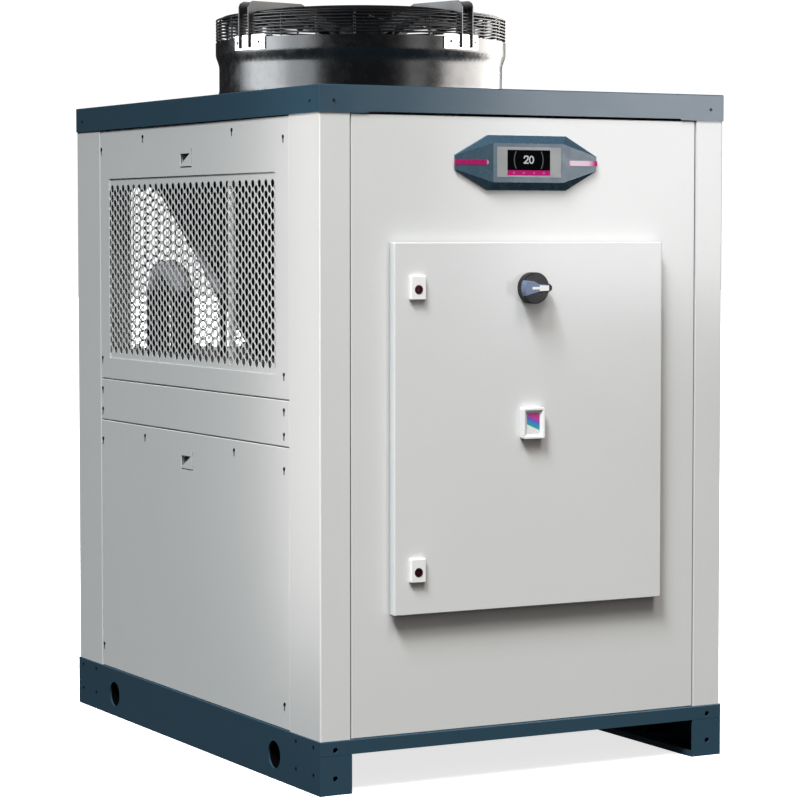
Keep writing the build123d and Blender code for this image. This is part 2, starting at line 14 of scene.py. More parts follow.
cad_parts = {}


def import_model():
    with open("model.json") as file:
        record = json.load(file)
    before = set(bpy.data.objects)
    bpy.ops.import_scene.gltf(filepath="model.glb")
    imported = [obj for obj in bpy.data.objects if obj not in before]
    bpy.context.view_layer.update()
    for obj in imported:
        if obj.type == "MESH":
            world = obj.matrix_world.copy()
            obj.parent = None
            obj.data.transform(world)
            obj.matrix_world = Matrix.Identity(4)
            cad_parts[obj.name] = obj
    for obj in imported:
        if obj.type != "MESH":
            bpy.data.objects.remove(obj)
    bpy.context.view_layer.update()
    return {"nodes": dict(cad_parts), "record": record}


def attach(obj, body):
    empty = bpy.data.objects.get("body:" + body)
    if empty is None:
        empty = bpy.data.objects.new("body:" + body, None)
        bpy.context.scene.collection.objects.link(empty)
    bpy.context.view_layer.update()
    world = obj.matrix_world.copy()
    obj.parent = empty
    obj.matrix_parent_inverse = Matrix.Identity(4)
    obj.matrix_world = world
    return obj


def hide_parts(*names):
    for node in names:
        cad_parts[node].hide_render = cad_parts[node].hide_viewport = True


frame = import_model()
nodes = frame["nodes"]
slots = {s["node"]: s["material_slot"] for s in frame["record"]["subparts"]}

W, D, H = 977.0, 1295.0, 1432.0
Y0 = -618.5
CX = W / 2.0
FAN_D = 755.0


def P(x, d, z):
    return Vector(((x - CX) / 1000.0, (Y0 + d) / 1000.0, z / 1000.0))


# ------------------------------------------------------------------ materials
def srgb(r, g, b):
    """Linear colour from screen values of 0 to 255."""
    def f(v):
        v = v / 255.0
        return v / 12.92 if v <= 0.04045 else ((v + 0.055) / 1.055) ** 2.4
    return (f(r), f(g), f(b), 1.0)


class Graph:
    def __init__(self, name):
        self.mat = bpy.data.materials.new(name)
        self.mat.use_nodes = True
        self.nt = self.mat.node_tree
        self.nt.nodes.clear()
        self.out = self.add("ShaderNodeOutputMaterial")
        self.bsdf = self.add("ShaderNodeBsdfPrincipled")
        self.link(self.bsdf, 0, self.out, 0)
        self.co = self.add("ShaderNodeTexCoord")

    def add(self, kind, **props):
        n = self.nt.nodes.new(kind)
        for k, v in props.items():
            setattr(n, k, v)
        return n

    def link(self, a, i, b, j):
        self.nt.links.new(a.outputs[i], b.inputs[j])

    def set(self, **values):
        for k, v in values.items():
            self.bsdf.inputs[k.replace("_", " ")].default_value = v

    def mapped(self, scale=(1, 1, 1), rot=(0, 0, 0)):
        m = self.add("ShaderNodeMapping")
        m.inputs["Scale"].default_value = scale
        m.inputs["Rotation"].default_value = rot
        self.link(self.co, "Object", m, "Vector")
        return m

    def noise(self, scale, detail=3.0, rough=0.5, stretch=(1, 1, 1), distortion=0.0):
        m = self.mapped(stretch)
        n = self.add("ShaderNodeTexNoise")
        n.inputs["Scale"].default_value = scale
        n.inputs["Detail"].default_value = detail
        n.inputs["Roughness"].default_value = rough
        n.inputs["Distortion"].default_value = distortion
        self.link(m, 0, n, "Vector")
        return n

    def ramp(self, src, out, stops):
        r = self.add("ShaderNodeValToRGB")
        el = r.color_ramp.elements
        while len(el) < len(stops):
            el.new(0.5)
        for e, (pos, col) in zip(el, stops):
            e.position = pos
            e.color = col
        self.link(src, out, r, 0)
        return r

    def range(self, src, out, a, b, lo=0.35, hi=0.65):
        r = self.add("ShaderNodeMapRange")
        r.inputs[1].default_value = lo
        r.inputs[2].default_value = hi
        r.inputs[3].default_value = a
        r.inputs[4].default_value = b
        self.link(src, out, r, 0)
        return r

    def bump(self, heights):
        """heights: (node, output, strength, distance) from coarse to fine."""
        last = None
        for n, o, s, dist in heights:
            b = self.add("ShaderNodeBump")
            b.inputs["Strength"].default_value = s
            b.inputs["Distance"].default_value = dist
            self.link(n, o, b, "Height")
            if last is not None:
                self.link(last, 0, b, "Normal")
            last = b
        self.link(last, 0, self.bsdf, "Normal")
        return last


def shade(c, k):
    return (min(c[0] * k, 1.0), min(c[1] * k, 1.0), min(c[2] * k, 1.0), 1.0)


def coat_paint(name, col, rough=0.36, spread=0.05, peel=0.10, var=0.03, grain=0.06, dust=None):
    """Powder coat: orange peel, fine grain, faint cloudiness, roughness that varies."""
    g = Graph(name)
    cloud = g.noise(2.3, 4.0, 0.6)
    r = g.ramp(cloud, 0, [(0.32, shade(col, 1.0 - var)), (0.68, shade(col, 1.0 + var))])
    speck = g.noise(950.0, 2.0, 0.5)
    r2 = g.ramp(speck, 0, [(0.35, (1 - grain, 1 - grain, 1 - grain, 1)), (0.65, (1, 1, 1, 1))])
    mix = g.add("ShaderNodeMix", data_type="RGBA", blend_type="MULTIPLY")
    mix.inputs[0].default_value = 1.0
    g.link(r, 0, mix, 6)
    g.link(r2, 0, mix, 7)
    last, at = mix, 2
    if dust:
        # dust settles near the floor
        sep = g.add("ShaderNodeSeparateXYZ")
        g.link(g.co, "Object", sep, 0)
        low = g.range(sep, 2, dust[1], 0.0, 0.0, dust[2])
        m2 = g.add("ShaderNodeMix", data_type="RGBA", blend_type="MIX")
        g.link(low, 0, m2, 0)
        g.link(mix, 2, m2, 6)
        m2.inputs[7].default_value = dust[0]
        last = m2
    g.link(last, at, g.bsdf, "Base Color")
    wide = g.noise(7.0, 3.0, 0.5)
    rr = g.range(wide, 0, rough - spread, rough + spread)
    g.link(rr, 0, g.bsdf, "Roughness")
    peel_n = g.noise(420.0, 2.0, 0.45)
    fine = g.noise(1900.0, 2.0, 0.5)
    g.bump([(peel_n, 0, peel, 0.0006), (fine, 0, peel * 0.6, 0.00025)])
    g.set(IOR=1.5)
    return g.mat


def plastic(name, col, rough=0.35, grain=900.0, depth=0.08, var=0.03, ior=1.46, coat=0.0, coat_rough=0.1):
    """Moulded plastic with a fine spark-eroded grain."""
    g = Graph(name)
    cloud = g.noise(14.0, 3.0, 0.55)
    r = g.ramp(cloud, 0, [(0.3, shade(col, 1.0 - var)), (0.7, shade(col, 1.0 + var))])
    g.link(r, 0, g.bsdf, "Base Color")
    wide = g.noise(40.0, 3.0, 0.5)
    rr = g.range(wide, 0, rough * 0.85, rough * 1.15)
    g.link(rr, 0, g.bsdf, "Roughness")
    n1 = g.noise(grain, 2.0, 0.5)
    n2 = g.noise(grain * 0.2, 2.0, 0.5)
    g.bump([(n2, 0, depth * 0.5, 0.0004), (n1, 0, depth, 0.0002)])
    g.set(IOR=ior)
    if coat:
        g.set(Coat_Weight=coat, Coat_Roughness=coat_rough)
    return g.mat


def metal(name, col, rough=0.3, stretch=(1, 1, 1), scale=600.0, depth=0.08, spangle=0.0, metallic=1.0):
    """Plated or galvanised steel and aluminium."""
    g = Graph(name)
    if spangle:
        v = g.add("ShaderNodeTexVoronoi")
        m = g.mapped((1, 1, 1))
        g.link(m, 0, v, "Vector")
        v.inputs["Scale"].default_value = 90.0
        r = g.ramp(v, "Color", [(0.2, shade(col, 1 - spangle)), (0.8, shade(col, 1 + spangle))])
    else:
        n = g.noise(scale * 0.2, 3.0, 0.6, stretch)
        r = g.ramp(n, 0, [(0.3, shade(col, 0.9)), (0.7, shade(col, 1.08))])
    g.link(r, 0, g.bsdf, "Base Color")
    n2 = g.noise(scale, 3.0, 0.6, stretch)
    rr = g.range(n2, 0, rough * 0.8, rough * 1.25)
    g.link(rr, 0, g.bsdf, "Roughness")
    g.bump([(n2, 0, depth, 0.0002)])
    g.set(Metallic=metallic)
    return g.mat


PANEL = srgb(214, 215, 213)
M = {}
M["panel_grey"] = coat_paint("panel_grey", PANEL, rough=0.19, spread=0.015, peel=0.10, var=0.012, grain=0.035)
M["door_grey"] = coat_paint("door_grey", srgb(217, 218, 217), rough=0.19, spread=0.015, peel=0.12, var=0.012, grain=0.03)
M["frame_blue"] = coat_paint("frame_blue", srgb(49, 74, 89), rough=0.24, spread=0.02, peel=0.08, var=0.03, grain=0.08)
M["galvanised"] = metal("galvanised", (0.62, 0.64, 0.66, 1), rough=0.38, spangle=0.16)
M["zinc"] = metal("zinc", (0.88, 0.88, 0.87, 1), rough=0.28, scale=500.0, depth=0.05)
M["device_grey"] = plastic("device_grey", srgb(185, 188, 190), rough=0.5)
M["seal_rubber"] = plastic("seal_rubber", srgb(30, 30, 31), rough=0.75, grain=500.0, depth=0.3, var=0.15)
M["white_plastic"] = plastic("white_plastic", srgb(236, 237, 235), rough=0.32, depth=0.05, var=0.01)
M["dark_metal"] = metal("dark_metal", srgb(70, 26, 36), rough=0.36, metallic=0.5)
M["black_plastic"] = plastic("black_plastic", srgb(12, 12, 13), rough=0.42, depth=0.10, var=0.1)
M["grip_grey"] = plastic("grip_grey", srgb(104, 118, 146), rough=0.33, depth=0.05)
M["slate_plastic"] = plastic("slate_plastic", srgb(56, 79, 94), rough=0.27, depth=0.02, var=0.012)
M["module_grey"] = plastic("module_grey", srgb(138, 140, 140), rough=0.36, depth=0.02, var=0.012)
M["screen_black"] = plastic("screen_black", srgb(6, 6, 8), rough=0.08, depth=0.0, var=0.2)
M["gloss_black"] = plastic("gloss_black", srgb(10, 10, 11), rough=0.26, grain=300.0, depth=0.02, var=0.12, ior=1.55)
M["fan_black"] = coat_paint("fan_black", srgb(14, 14, 15), rough=0.38, spread=0.05, peel=0.12, var=0.1, grain=0.1)
M["impeller_black"] = plastic("impeller_black", srgb(22, 22, 23), rough=0.45, depth=0.12, var=0.1)


def pipe_painted_light_material():
    """Pipe sleeves coloured by height: black legs as painted shade, a pale bend on top as painted light."""
    g = Graph("pipe_grey")
    sep = g.add("ShaderNodeSeparateXYZ")
    g.link(g.co, "Object", sep, 0)
    n = g.noise(60.0, 3.0, 0.6)
    t = g.range(sep, 2, 0.0, 1.0, 0.985, 1.035)
    wob = g.range(n, 0, -0.18, 0.18)
    add = g.add("ShaderNodeMath", operation="ADD")
    g.link(t, 0, add, 0)
    g.link(wob, 0, add, 1)
    # painted shade low on the legs, painted light on the bend on top: black ramps up to pale grey with height
    r = g.ramp(add, 0, [(0.25, (0.008, 0.008, 0.009, 1)), (0.6, srgb(168, 168, 172))])
    fine = g.noise(420.0, 2.0, 0.5)
    r2 = g.ramp(fine, 0, [(0.3, (0.8, 0.8, 0.8, 1)), (0.7, (1, 1, 1, 1))])
    mix = g.add("ShaderNodeMix", data_type="RGBA", blend_type="MULTIPLY")
    mix.inputs[0].default_value = 1.0
    g.link(r, 0, mix, 6)
    g.link(r2, 0, mix, 7)
    g.link(mix, 2, g.bsdf, "Base Color")
    rr = g.range(fine, 0, 0.6, 0.8)
    g.link(rr, 0, g.bsdf, "Roughness")
    g.bump([(fine, 0, 0.35, 0.0004)])
    return g.mat


M["pipe_grey"] = pipe_painted_light_material()


def coil_painted_shade_material():
    """Upright fin edges, nearly black as painted shade of the dark inside, with a slightly uneven colour."""
    g = Graph("coil_aluminium")
    w = g.add("ShaderNodeTexWave", wave_type="BANDS", bands_direction="Y")
    m = g.mapped((1, 1, 1))
    g.link(m, 0, w, "Vector")
    w.inputs["Scale"].default_value = 130.0
    w.inputs["Distortion"].default_value = 0.3
    # near-black fin colour: painted shade of the inside of the cabinet
    r = g.ramp(w, 0, [(0.25, (0.004, 0.004, 0.005, 1)), (0.75, (0.030, 0.031, 0.034, 1))])
    n = g.noise(18.0, 4.0, 0.6)
    r2 = g.ramp(n, 0, [(0.3, (0.6, 0.6, 0.6, 1)), (0.7, (1, 1, 1, 1))])
    mix = g.add("ShaderNodeMix", data_type="RGBA", blend_type="MULTIPLY")
    mix.inputs[0].default_value = 1.0
    g.link(r, 0, mix, 6)
    g.link(r2, 0, mix, 7)
    g.link(mix, 2, g.bsdf, "Base Color")
    rr = g.range(n, 0, 0.4, 0.6)
    g.link(rr, 0, g.bsdf, "Roughness")
    g.bump([(w, 0, 0.6, 0.001)])
    g.set(Metallic=0.0)
    return g.mat


M["coil_aluminium"] = coil_painted_shade_material()


def glow(name, base, stops, lo, hi, strength, axis=0):
    """A lit light guide: its colour changes along one axis of the part."""
    g = Graph(name)
    sep = g.add("ShaderNodeSeparateXYZ")
    g.link(g.co, "Object", sep, 0)
    t = g.range(sep, axis, 0.0, 1.0, lo, hi)
    r = g.ramp(t, 0, stops)
    n = g.noise(300.0, 2.0, 0.5)
    r2 = g.ramp(n, 0, [(0.3, (0.94, 0.94, 0.94, 1)), (0.7, (1, 1, 1, 1))])
    mix = g.add("ShaderNodeMix", data_type="RGBA", blend_type="MULTIPLY")
    mix.inputs[0].default_value = 1.0
    g.link(r, 0, mix, 6)
    g.link(r2, 0, mix, 7)
    g.link(mix, 2, g.bsdf, "Emission Color")
    g.set(Base_Color=(0.05, 0.01, 0.03, 1))
    rr = g.range(n, 0, 0.2, 0.3)
    g.link(rr, 0, g.bsdf, "Roughness")
    g.set(Emission_Strength=strength)
    return g.mat


MAG = srgb(196, 14, 112)
X_OF = lambda x: (x - CX) / 1000.0
M["light_magenta"] = glow(
    "light_magenta", MAG,
    [(0.0, srgb(178, 12, 98)), (0.205, srgb(170, 10, 92)), (0.2151, srgb(235, 190, 220)), (0.23, srgb(150, 10, 84)),
     (0.775, srgb(214, 40, 130)), (0.80, srgb(255, 236, 250)), (0.93, srgb(255, 225, 245)), (0.985, srgb(206, 18, 118))],
    X_OF(309.0), X_OF(652.5), 0.75)


def assign(obj, mat):
    obj.data.materials.clear()
    obj.data.materials.append(mat)


def smooth(obj, angle=35.0):
    for p in obj.data.polygons:
        p.use_smooth = True
    obj.data.set_sharp_from_angle(angle=math.radians(angle))


for name, obj in nodes.items():
    assign(obj, M[slots[name]])


# ------------------------------------------------------------------ mesh helpers
class Soup:
    """Collects vertices and faces of a piece."""

    def __init__(self):
        self.v = []
        self.f = []
        self.m = []
        self.n = 0

    def add(self, verts, faces, mat=0):
        verts = np.asarray(verts, float).reshape(-1, 3)
        base = self.n
        self.v.append(verts)
        self.f.extend([tuple(base + i for i in f) for f in faces])
        self.m.extend([mat] * len(faces))
        self.n += len(verts)

    def make(self, name, body, slot, mats=None, sharp=35.0, flat=False):
        me = bpy.data.meshes.new(name)
        me.from_pydata(np.concatenate(self.v).tolist(), [], self.f)
        me.validate()
        ob = bpy.data.objects.new(name, me)
        bpy.context.scene.collection.objects.link(ob)
        for m in (mats or [M[slot]]):
            me.materials.append(m)
        if mats and len(mats) > 1:
            me.polygons.foreach_set("material_index", self.m)
        if not flat:
            smooth(ob, sharp)
        me.update()
        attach(ob, body)
        return ob


def ring_tube(centre, radius, z, r, seg=96, sides=8, squash=1.0):
    """A wire bent to a ring about an upright axis."""
    a = np.linspace(0, 2 * math.pi, seg, endpoint=False)
    b = np.linspace(0, 2 * math.pi, sides, endpoint=False)
    verts = []
    for t in a:
        for u in b:
            q = radius + r * math.cos(u)
            verts.append((centre[0] + q * math.cos(t), centre[1] + q * math.sin(t), z + r * squash * math.sin(u)))
    faces = []
    for i in range(seg):
        for j in range(sides):
            i2, j2 = (i + 1) % seg, (j + 1) % sides
            faces.append((i * sides + j, i2 * sides + j, i2 * sides + j2, i * sides + j2))
    return verts, faces


def arc_tube(centre, radius, z, r, a0, a1, seg, sides=8):
    """Part of a ring, closed at both ends."""
    pts = [Vector((centre[0] + radius * math.cos(t), centre[1] + radius * math.sin(t), z))
           for t in np.linspace(a0, a1, seg + 1)]
    return path_tube(pts, r, sides)


def path_tube(points, r, sides=8, caps=True):
    """A round wire along a line of points."""
    pts = [Vector(p) for p in points]
    n = len(pts)
    verts, faces = [], []
    ref = None
    for i, p in enumerate(pts):
        t = (pts[min(i + 1, n - 1)] - pts[max(i - 1, 0)]).normalized()
        if ref is None:
            ref = t.orthogonal().normalized()
        ref = (ref - t * ref.dot(t)).normalized()
        w = t.cross(ref)
        for j in range(sides):
            u = 2 * math.pi * j / sides
            verts.append(tuple(p + ref * (r * math.cos(u)) + w * (r * math.sin(u))))
    for i in range(n - 1):
        for j in range(sides):
            j2 = (j + 1) % sides
            faces.append((i * sides + j, i * sides + j2, (i + 1) * sides + j2, (i + 1) * sides + j))
    if caps:
        faces.append(tuple(reversed(range(sides))))
        faces.append(tuple(range((n - 1) * sides, n * sides)))
    return verts, faces


def turned_on(origin, axis, profile, seg=24):
    """A turned form: profile is (radius, height along the axis) pairs, first and last at radius 0."""
    axis = Vector(axis).normalized()
    u = axis.orthogonal().normalized()
    w = axis.cross(u)
    o = Vector(origin)
    verts, faces = [], []
    rings = []
    for r, h in profile:
        if r <= 1e-9:
            rings.append([len(verts)])
            verts.append(tuple(o + axis * h))
        else:
            ids = []
            for k in range(seg):
                t = 2 * math.pi * k / seg
                ids.append(len(verts))
                verts.append(tuple(o + axis * h + u * (r * math.cos(t)) + w * (r * math.sin(t))))
            rings.append(ids)
    for a, b in zip(rings, rings[1:]):
        for k in range(seg):
            k2 = (k + 1) % seg
            if len(a) == 1 and len(b) == 1:
                continue
            if len(a) == 1:
                faces.append((a[0], b[k], b[k2]))
            elif len(b) == 1:
                faces.append((a[k], b[0], a[k2]))
            else:
                faces.append((a[k], b[k], b[k2], a[k2]))
    return verts, faces


def block(lo, hi, bevel=0.0):
    """A block with bevelled edges on all sides, from two corners."""
    lo, hi = Vector(lo), Vector(hi)
    if bevel <= 0:
        xs, ys, zs = (lo.x, hi.x), (lo.y, hi.y), (lo.z, hi.z)
        v = [(x, y, z) for x in xs for y in ys for z in zs]
        f = [(0, 1, 3, 2), (4, 6, 7, 5), (0, 4, 5, 1), (2, 3, 7, 6), (0, 2, 6, 4), (1, 5, 7, 3)]
        return v, f
    import bmesh
    bm = bmesh.new()
    bmesh.ops.create_cube(bm, size=1.0)
    for q in bm.verts:
        q.co = Vector(((lo.x + hi.x) / 2 + q.co.x * (hi.x - lo.x), (lo.y + hi.y) / 2 + q.co.y * (hi.y - lo.y),
                       (lo.z + hi.z) / 2 + q.co.z * (hi.z - lo.z)))
    bmesh.ops.bevel(bm, geom=list(bm.edges), offset=bevel, segments=2, affect="EDGES", profile=0.6)
    bm.normal_update()
    v = [tuple(q.co) for q in bm.verts]
    bm.verts.index_update()
    f = [tuple(q.index for q in face.verts) for face in bm.faces]
    bm.free()
    return v, f


def flat_shape(points, origin, u, v, normal, thick):
    """A thin plate from 2-D points, in the plane of u and v, raised along normal."""
    o, u, v, nrm = Vector(origin), Vector(u), Vector(v), Vector(normal)
    n = len(points)
    low = [tuple(o + u * a + v * b) for a, b in points]
    top = [tuple(o + u * a + v * b + nrm * thick) for a, b in points]
    faces = []
    tris = tessellate_polygon([[Vector((a, b, 0)) for a, b in points]])
    area = sum(points[i][0] * points[(i + 1) % n][1] - points[(i + 1) % n][0] * points[i][1] for i in range(n))
    good = u.cross(v).dot(nrm) > 0
    ccw = area > 0
    for t in tris:
        a, b, c = t
        s = ((points[b][0] - points[a][0]) * (points[c][1] - points[a][1])
             - (points[c][0] - points[a][0]) * (points[b][1] - points[a][1]))
        if (s > 0) != good:
            a, c = c, a
        faces.append((n + a, n + b, n + c))
        faces.append((c, b, a))
    for i in range(n):
        j = (i + 1) % n
        q = (i, j, n + j, n + i)
        faces.append(q if ccw == good else tuple(reversed(q)))
    return low + top, faces


# ------------------------------------------------------------------ perforated grilles
def perforated(name, body, slot, n_cols, n_rows, pu, pv, rx, ry, u0, v0, u_lim, v_lim, to_world, thick,
               sides=20, stands_for=()):
    """A punched sheet.  u runs across, v runs up; odd columns stand half a pitch higher."""
    hh = pv / 2.0
    wide = pu * 0.755                 # side corners of the six-sided cell
    top = pu - wide
    outer = [(wide, 0.0), (top, hh), (-top, hh), (-wide, 0.0), (-top, -hh), (top, -hh)]
    inner = [(rx * math.cos(2 * math.pi * k / sides), ry * math.sin(2 * math.pi * k / sides)) for k in range(sides)]
    cell = outer + inner
    tris = tessellate_polygon([[Vector((a, b, 0)) for a, b in outer], [Vector((a, b, 0)) for a, b in inner]])
    fixed = []
    for a, b, c in tris:
        s = ((cell[b][0] - cell[a][0]) * (cell[c][1] - cell[a][1]) - (cell[c][0] - cell[a][0]) * (cell[b][1] - cell[a][1]))
        fixed.append((a, b, c) if s > 0 else (c, b, a))
    soup = Soup()

    def place(uv, w):
        return [tuple(to_world(a, b, w)) for a, b in uv]

    def flat(pts):
        area = sum(pts[i][0] * pts[(i + 1) % len(pts)][1] - pts[(i + 1) % len(pts)][0] * pts[i][1] for i in range(len(pts)))
        if area < 0:
            pts = pts[::-1]
        v = place(pts, 0.0) + place(pts, thick)
        n = len(pts)
        soup.add(v, [tuple(range(n)), tuple(reversed(range(n, 2 * n)))])

    v_low, v_hi = v0, v0 + (n_rows + 0.5) * pv
    for i in range(n_cols):
        cu = u0 + (i + 0.5) * pu
        odd = i % 2
        for j in range(n_rows):
            cv = v0 + (j + 0.5 + 0.5 * odd) * pv
            pts = [(cu + a, cv + b) for a, b in cell]
            n = len(pts)
            faces = list(fixed) + [tuple(n + k for k in reversed(t)) for t in fixed]
            for k in range(sides):
                a, b = 6 + k, 6 + (k + 1) % sides
                faces.append((b, a, n + a, n + b))
            soup.add(place(pts, 0.0) + place(pts, thick), faces)
        # close the zigzag at the lower and upper ends of the column
        edge, far = (v_hi, v_hi - hh) if not odd else (v_low, v_low + hh)
        near_top = far
        if not odd:
            flat([(cu - top, near_top), (cu + top, near_top), (cu + wide, v_hi), (cu - wide, v_hi)])
        else:
            flat([(cu - top, near_top), (cu + top, near_top), (cu + wide, v_low), (cu - wide, v_low)])
        # solid margins beyond the pattern
        if odd:
            flat([(cu - wide, v_lim[0]), (cu + wide, v_lim[0]), (cu + wide, v_low), (cu - wide, v_low)])
            flat([(cu - top, v_hi), (cu + top, v_hi), (cu + top, v_lim[1]), (cu - top, v_lim[1])])
        else:
            flat([(cu - top, v_lim[0]), (cu + top, v_lim[0]), (cu + top, v_low), (cu - top, v_low)])
            flat([(cu - wide, v_hi), (cu + wide, v_hi), (cu + wide, v_lim[1]), (cu - wide, v_lim[1])])
    # notches at the two side ends, and the side margins
    lo_u, hi_u = u0 + 0.5 * pu - wide, u0 + (n_cols - 0.5) * pu + wide
    for cu, s, odd in ((u0 + 0.5 * pu, -1, 0), (u0 + (n_cols - 0.5) * pu, 1, (n_cols - 1) % 2)):
        for j in range(n_rows - 1):
            cv = v0 + (j + 0.5 + 0.5 * odd) * pv
            flat([(cu + s * wide, cv), (cu + s * top, cv + hh), (cu + s * wide, cv + pv)])
        first = v0 + (0.5 + 0.5 * odd) * pv
        last = first + (n_rows - 1) * pv
        low_at = v_low if not odd else v_low + hh
        flat([(cu + s * wide, first), (cu + s * top, low_at), (cu + s * wide, v_low)])
        if odd:
            flat([(cu + s * wide, last), (cu + s * top, v_hi), (cu + s * wide, v_hi)])
        else:
            flat([(cu + s * wide, last), (cu + s * top, v_hi - hh), (cu + s * wide, v_hi)])
        if not odd:
            flat([(cu + s * wide, v_lim[0]), (cu + s * top, v_lim[0]), (cu + s * top, v_low), (cu + s * wide, v_low)])
        else:
            flat([(cu + s * wide, v_hi), (cu + s * top, v_hi), (cu + s * top, v_lim[1]), (cu + s * wide, v_lim[1])])
    flat([(u_lim[0], v_lim[0]), (lo_u, v_lim[0]), (lo_u, v_lim[1]), (u_lim[0], v_lim[1])])
    flat([(hi_u, v_lim[0]), (u_lim[1], v_lim[0]), (u_lim[1], v_lim[1]), (hi_u, v_lim[1])])
    # rims round the sheet
    for a, b in (((u_lim[0], v_lim[0]), (u_lim[1], v_lim[0])), ((u_lim[1], v_lim[0]), (u_lim[1], v_lim[1])),
                 ((u_lim[1], v_lim[1]), (u_lim[0], v_lim[1])), ((u_lim[0], v_lim[1]), (u_lim[0], v_lim[0]))):
        v = place([a, b], 0.0) + place([b, a], thick)
        soup.add(v, [(3, 2, 1, 0)])
    ob = soup.make(name, body, slot, flat=True)
    if stands_for:
        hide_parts(*stands_for)
    return ob


HX, HZ = 8.3, 8.9
z_lo = 852.0
for side in ("left", "right"):
    sgn = -1.0 if side == "left" else 1.0

    def world(u, v, w, sgn=sgn):
        q = P(0, u, v)
        q.x = sgn * (CX - 5.0 - w) / 1000.0
        return q

    cols = 57
    span = cols * 15.9
    start = (207.6 + 1098.0) / 2.0 - span / 2.0
    g = perforated(side + "_grille_sheet", "chassis", "panel_grey", cols, 17, 15.9, 22.7, HX, HZ, start, z_lo,
                   (207.6 - 15 + 0.2, 1098 + 15 - 0.2), (843 - 15 + 0.2, 1261.5 + 15 - 0.2), world, 1.0,
                   stands_for=(side + "_grille",))
    if sgn > 0:
        g.data.flip_normals()


def world_r(u, v, w):
    q = P(u, 0, v)
    q.y = (Y0 + D - 5.0 - w) / 1000.0
    return q


cols = 45
start = CX - cols * 15.9 / 2.0
perforated("rear_grille_sheet", "chassis", "panel_grey", cols, 17, 15.9, 22.7, HX, HZ, start, z_lo,
           (125.2, 851.8), (828.2, 1276.3), world_r, 1.0, stands_for=("rear_grille",)).data.flip_normals()

# upright stiffeners riveted behind the side grilles
bars = Soup()
for sgn in (-1, 1):
    x0, x1 = sorted((sgn * (CX - 6.3), sgn * (CX - 18.0)))
    lo_q, hi_q = P(CX + x0, 437.5, 836.0), P(CX + x1, 446.0, 1269.0)
    bars.add(*block(lo_q, hi_q, 0.0008))
bars.make("grille_stiffeners", "chassis", "panel_grey")


# ------------------------------------------------------------------ pockets behind the finger pulls
def pocket(soup, d_in, d_out, z_top, z_low, depth):
    """A sloped dish behind the three-cornered opening, deepest at its square corner."""
    for sgn in (-1, 1):
        def q(d, z, w):
            v = P(0, d, z)
            v.x = sgn * (CX - 5.2 - w) / 1000.0
            return tuple(v)
        a = [(d_out + 2.0, z_top + 2.0), (d_in - 6.0, z_top + 2.0), (d_out + 2.0, z_low - 6.0)]
        deep = q(d_out + 1.0, z_top + 1.0, depth)
        rim = [q(d, z, 0.0) for d, z in a]
        back = [q(a[0][0], a[0][1], depth + 1.2), q(a[1][0], a[1][1], 1.2), q(a[2][0], a[2][1], 1.2)]
        v = rim + [deep] + back
        f = [(3, 1, 2), (0, 1, 3), (0, 3, 2), (4, 6, 5), (0, 4, 5, 1), (0, 2, 6, 4), (1, 5, 6, 2)]
        if sgn > 0:
            f = [tuple(reversed(t)) for t in f]
        soup.add(v, f)


pulls = Soup()
for z in (1279.0, 612.0):
    pocket(pulls, 636.0, 688.0, z + 31.0, z + 5.0, 15.0)
# the pocket grey is darker than the panel: painted shade inside the recess
pulls.make("finger_pull_pockets", "chassis", "panel_grey", flat=True,
           mats=[coat_paint("pocket_painted_shade", srgb(150, 152, 152), rough=0.4, var=0.05, grain=0.06)])


# ------------------------------------------------------------------ black bushes in the lifting holes and feet: painted shade that shows the holes dark
def bush(soup, at, normal, r_in, r_out, length, seg=40, closed=0.0):
    """A short sleeve behind a hole; closed gives the place of an inner end plate."""
    n = Vector(normal).normalized()
    u = n.orthogonal().normalized()
    w = n.cross(u)
    o = Vector(at)
    verts = []
    for r, h in ((r_in, 0.0), (r_in, length), (r_out, length), (r_out, 0.0)):
        for k in range(seg):
            t = 2 * math.pi * k / seg
            verts.append(tuple(o + n * h + u * (r * math.cos(t)) + w * (r * math.sin(t))))
    faces = []
    for a in range(4):
        b = (a + 1) % 4
        for k in range(seg):
            k2 = (k + 1) % seg
            faces.append((a * seg + k, b * seg + k, b * seg + k2, a * seg + k2))
    soup.add(verts, [tuple(reversed(f)) for f in faces])
    if closed:
        soup.add(*turned_on(o + n * closed, -n, [(0.0, 0.0015), (r_in * 1.01, 0.0015), (r_in * 1.01, 0.0), (0.0, 0.0)], seg=seg))


sleeves = Soup()
for d in (212.0, 1073.0):
    for sgn in (-1, 1):
        q = P(0, d, 51.4)
        q.x = sgn * (CX - 4.2) / 1000.0
        bush(sleeves, q, (-sgn, 0, 0), 0.0292, 0.0325, 0.062)
for x in (35.0, W - 35.0):
    for z in (34.0, 92.0):
        for d, n in ((4.2, (0, 1, 0)), (D - 4.2, (0, -1, 0))):
            bush(sleeves, P(x, d, z), n, 0.0057, 0.0095, 0.014, seg=24, closed=0.013)
# near-black sleeves and end plates: painted shade inside the holes
sleeves.make("hole_shade_bushes", "chassis", "fan_black",
             mats=[coat_paint("bush_painted_shade", srgb(8, 8, 9), rough=0.55, var=0.1, grain=0.1)])


# ------------------------------------------------------------------ fan guard
FC = (0.0, (Y0 + FAN_D) / 1000.0)
ARM_ANG = [math.radians(a - 90.0) for a in (-77.4, 16.4, 102.6, 196.4)]   # from +X, counterclockwise


def ang_gap(radius, half):
    return math.asin(min(half / radius, 0.95))


guard = Soup()
WR = 0.0023


